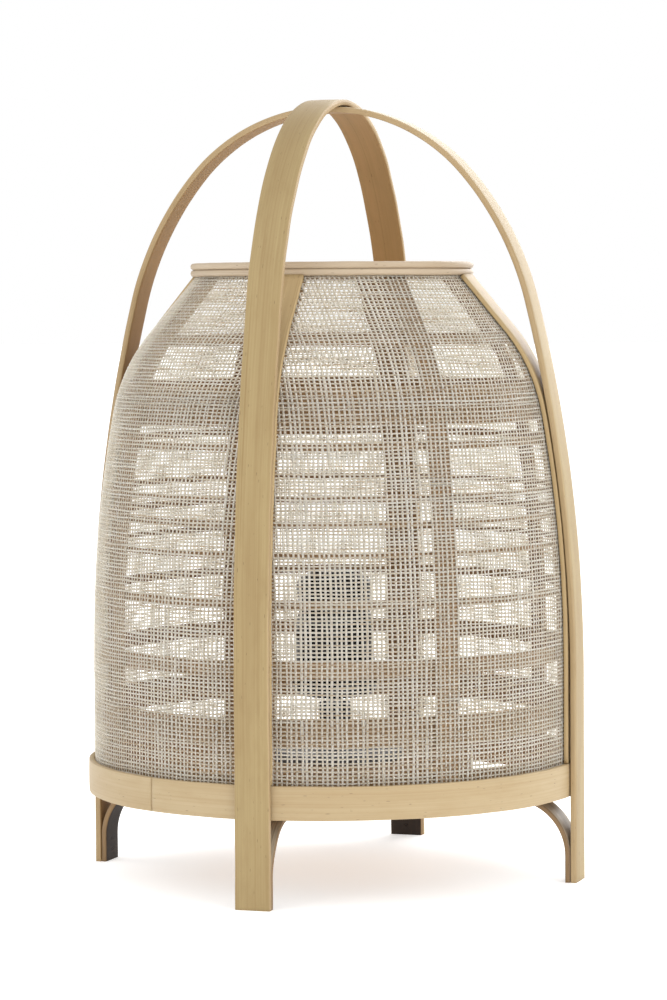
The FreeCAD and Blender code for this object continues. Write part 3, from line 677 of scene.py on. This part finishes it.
def panel(name, bearing, seed, material):
    """One quarter of the shade, woven from its warps and wefts.

    A point x to the side of the panel's middle and s down the cloth lies at bearing
    middle + x / radius(s), on the outline at s, half a cloth thickness out.
    """
    random = np.random.default_rng(seed)
    spread = np.pi / 4 - seam_gap / shade_radius
    half = shade_radius * spread
    warps = int(half / warp_pitch)
    x = np.arange(-warps, warps + 1) * warp_pitch + random.normal(0, warp_jitter, 2 * warps + 1)
    gaps = weft_pitch * np.clip(random.normal(1, 0.08, int(cloth_length / weft_pitch) + 1), 0.7, 1.5)
    s = np.cumsum(gaps)
    s = s[s < cloth_length - 1 * mm]
    parity = (-1.0) ** (np.arange(len(x))[:, None] + np.arange(len(s))[None])

    shape = (len(x), len(s))
    sway = drifted(random, shape, weft_pitch, warp_sway, (0.31, 0.14, 0.06))
    wave = drifted(random, shape[::-1], warp_pitch, weft_wave, (0.21, 0.1, 0.045)).T
    common = wander(seed + 5, x, cloth_pull, (0.33, 0.17))[:, None]
    near_end = np.exp(-(cloth_length - s) / pull_reach) + np.exp(-s / pull_reach)
    across = x[:, None] + sway
    down = s[None] + wave + common * (0.35 + near_end[None])
    down = np.clip(down, edge_margin, cloth_length - edge_margin)
    radius, height, out_r, out_z = along_shade(down)
    kept = np.abs(across) < spread * radius
    angle = math.radians(bearing) + across / radius
    cos, sin = np.cos(angle), np.sin(angle)
    out = np.stack([cos * out_r, sin * out_r, out_z], 2)
    over = np.stack([-sin, cos, 0 * sin], 2)
    fall = np.cross(out, over)
    middle = np.stack([cos * radius, sin * radius, height], 2) + out * cloth_thickness / 2

    lift = (parity * weave_lift)[..., None]
    warp_width = warp_yarn * slubs(random, shape, weft_pitch, 6) * random.normal(1, 0.12, (len(x), 1))
    weft_width = weft_yarn * slubs(random, shape[::-1], warp_pitch, 5).T
    weft_width = weft_width * random.normal(1, 0.1, (1, len(s)))
    points_a, faces_a = yarn_mesh(middle + out * lift, over, out, warp_width, yarn_depth, kept)
    turned = [v.transpose(1, 0, 2) for v in (middle - out * lift, fall, out)]
    points_b, faces_b = yarn_mesh(*turned, weft_width.T, yarn_depth, kept.T)

    warp_tone = (0.8 + random.normal(0, 0.09, (len(x), 1))
                 + drifted(random, shape, weft_pitch, 0.12, (0.09, 0.03)))
    weft_tone = (0.58 + random.normal(0, 0.14, (1, len(s)))
                 + drifted(random, shape[::-1], warp_pitch, 0.26, (0.16, 0.06)).T)
    tone = np.concatenate([np.repeat(warp_tone[kept], 4), np.repeat(weft_tone.T[kept.T], 4)])
    points = np.concatenate([points_a, points_b])
    faces = np.concatenate([faces_a, faces_b + len(points_a)])
    piece = mesh_piece(name, points, faces.tolist(), material, (("tone", tone.clip(0, 1)),))
    place = np.concatenate([
        np.stack([np.repeat((across / half / 4 + 0.25)[kept], 4),
                  np.repeat((down / cloth_length)[kept], 4)], 1),
        np.stack([np.repeat((across / half / 4 + 0.75).T[kept.T], 4),
                  np.repeat((down / cloth_length).T[kept.T], 4)], 1)])
    piece.data.uv_layers.new(name="OFBake").uv.foreach_set(
        "vector", place[faces.ravel()].astype(np.float32).ravel())
    return piece


linen_yarn = linen()
for k, name in enumerate(("right_back", "left_back", "left_front", "right_front")):
    cloth = panel("cloth_%s_weave" % name, 45 + 90 * k, 70 + k, linen_yarn)
    settle(cloth, "lamp", "linen_cloth", "cloth_" + name)


# ---------------------------------------------------------------------------
# Cane rim: four rings of split cane, two outside and two inside the cloth's top edge.
# ---------------------------------------------------------------------------
cane_radius = 2.8 * mm
cane = bamboo("cane", shade(196, 179, 154), shade(186, 164, 136), shade(196, 179, 154), shade(160, 136, 108))
for k, name in enumerate(("rim_cane_lower_outer", "rim_cane_upper_outer", "rim_cane_upper_inner",
                          "rim_cane_lower_inner")):
    low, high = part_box(name)
    line, out = ring_line(high.x - cane_radius, (low.z + high.z) / 2, 0, 358.8, 300)
    ring = carried(name + "_split", line, out, 2 * cane_radius, 2 * cane_radius, cane, 80 + k, True,
                   cane_radius * 0.86, 0.12 * mm, 0.0)
    settle(ring, "lamp", "rattan_cane", name)


# ---------------------------------------------------------------------------
# Cover strips: bamboo laths nailed over the four seams, from the rim down to the band.
# ---------------------------------------------------------------------------
cover_thickness = 4.0 * mm
cover_gap = 0.2 * mm
cover_skip = 6.7 * mm
cover_foot = cloth_length - (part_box("cover_strip_right")[0].z - hem_height)
cover_bamboo = bamboo("cover_bamboo", shade(194, 172, 128), shade(110, 78, 46), shade(196, 172, 128),
                      shade(150, 120, 78))
for k, name in enumerate(("right", "back", "left", "front")):
    line, out = shade_strip(cover_skip, cover_foot, cloth_thickness + cover_gap + cover_thickness / 2, 90 * k)
    settle(carried("cover_strip_%s_lath" % name, line, out, strap_width - waver_room, cover_thickness,
                   cover_bamboo, 90 + k), "lamp", "bamboo_strap", "cover_strip_" + name)


# ---------------------------------------------------------------------------
# Floor: two slats halved into each other, and a round board on them.
# ---------------------------------------------------------------------------
def board_wood(name, grain):
    """Plain raw board: long noise along the grain, with fine pores."""
    finish = Finish(name, Roughness=0.75, Specular_IOR_Level=0.3)
    figure = finish.noise(grain, 3.0, 0.6, "Object")
    pores = finish.noise(tuple(v * 5 for v in grain), 2.0, 0.5, "Object")
    base = finish.mix(figure.between(0.3, 0.7), shade(190, 156, 108), shade(146, 108, 66))
    base = finish.mix(pores.between(0.5, 0.8) * 0.5, base, shade(110, 78, 46))
    finish.colour(base)
    finish.bump(pores, 0.0002)
    return finish.material


def dress(node, material):
    """Gives a carried-over node its finish in every slot."""
    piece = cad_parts[node]
    for slot in piece.material_slots:
        slot.material = material


across_wood = board_wood("across_wood", (7, 160, 160))
along_wood = board_wood("along_wood", (160, 7, 160))
dress("floor_slat_across", across_wood)
dress("base_board", across_wood)
dress("floor_slat_along", along_wood)


# ---------------------------------------------------------------------------
# Lamp plate, lampholder and fixings: a grey pressed plate, black moulded holder, brass
# contacts and plain steel brads and screws.
# ---------------------------------------------------------------------------
def plain_metal(name, colour, rough, metal=1.0):
    """Metal with fine uneven polish."""
    finish = Finish(name, Metallic=metal)
    worn = finish.noise((220, 220, 220), 3.0, 0.6, "Object")
    finish.colour(finish.mix(worn.between(0.3, 0.8) * 0.5, colour, tuple(v * 0.6 for v in colour[:3]) + (1,)))
    finish.roughness(rough + worn * 0.2)
    return finish.material


def moulded(name, colour, rough):
    """Moulded plastic with a fine spark-eroded grain."""
    finish = Finish(name, Specular_IOR_Level=0.45)
    grain = finish.noise((1600, 1600, 1600), 1.0, 0.5, "Object")
    tone = finish.noise((60, 60, 60), 1.0, 0.5, "Object")
    finish.colour(finish.mix(tone * 0.4, colour, tuple(v * 0.5 for v in colour[:3]) + (1,)))
    finish.roughness(rough + grain * 0.15)
    finish.bump(grain, 0.00004)
    return finish.material


grey_paint = plain_metal("grey_paint", shade(120, 124, 130), 0.4, 0.2)
steel = plain_metal("steel", shade(170, 170, 168), 0.3)
brass = plain_metal("brass", shade(200, 160, 90), 0.28)
rolled_cap = plain_metal("rolled_cap", shade(176, 178, 180), 0.3)
black_plastic = moulded("black_plastic", shade(26, 27, 30), 0.42)
ceramic = moulded("ceramic", shade(226, 224, 216), 0.3)
black_glass = moulded("black_glass", shade(14, 14, 18), 0.12)
yellow_strip = moulded("yellow_strip", shade(222, 172, 70), 0.5)
for material, nodes in (
        (grey_paint, ["lamp_plate"]),
        (steel, ["hoop_pins", "shade_pins", "board_screws", "terminal_screws", "nipple", "nipple_nut"]),
        (brass, ["screw_shell", "centre_contact", "terminal_blocks", "bulb_tip"]),
        (rolled_cap, ["bulb_cap"]),
        (black_plastic, ["holder_base", "holder_skirt", "cord_grip"]),
        (ceramic, ["holder_insulator"]),
        (black_glass, ["bulb_insulator"]),
        (yellow_strip, ["bulb_filaments"])):
    for node in nodes:
        dress(node, material)


# ---------------------------------------------------------------------------
# Bulb: a dark smoked glass in a stepped barrel, blown in a mould, with its clear stem.
# ---------------------------------------------------------------------------
smoked = Finish("smoked_glass", Base_Color=shade(9, 9, 9), Roughness=0.16, IOR=1.48,
                Transmission_Weight=0.04, Specular_IOR_Level=0.35).material
clear = Finish("clear_glass", Base_Color=shade(225, 230, 230), Roughness=0.04, IOR=1.48,
               Transmission_Weight=0.9).material
dress("bulb_glass", smoked)
dress("bulb_stem", clear)
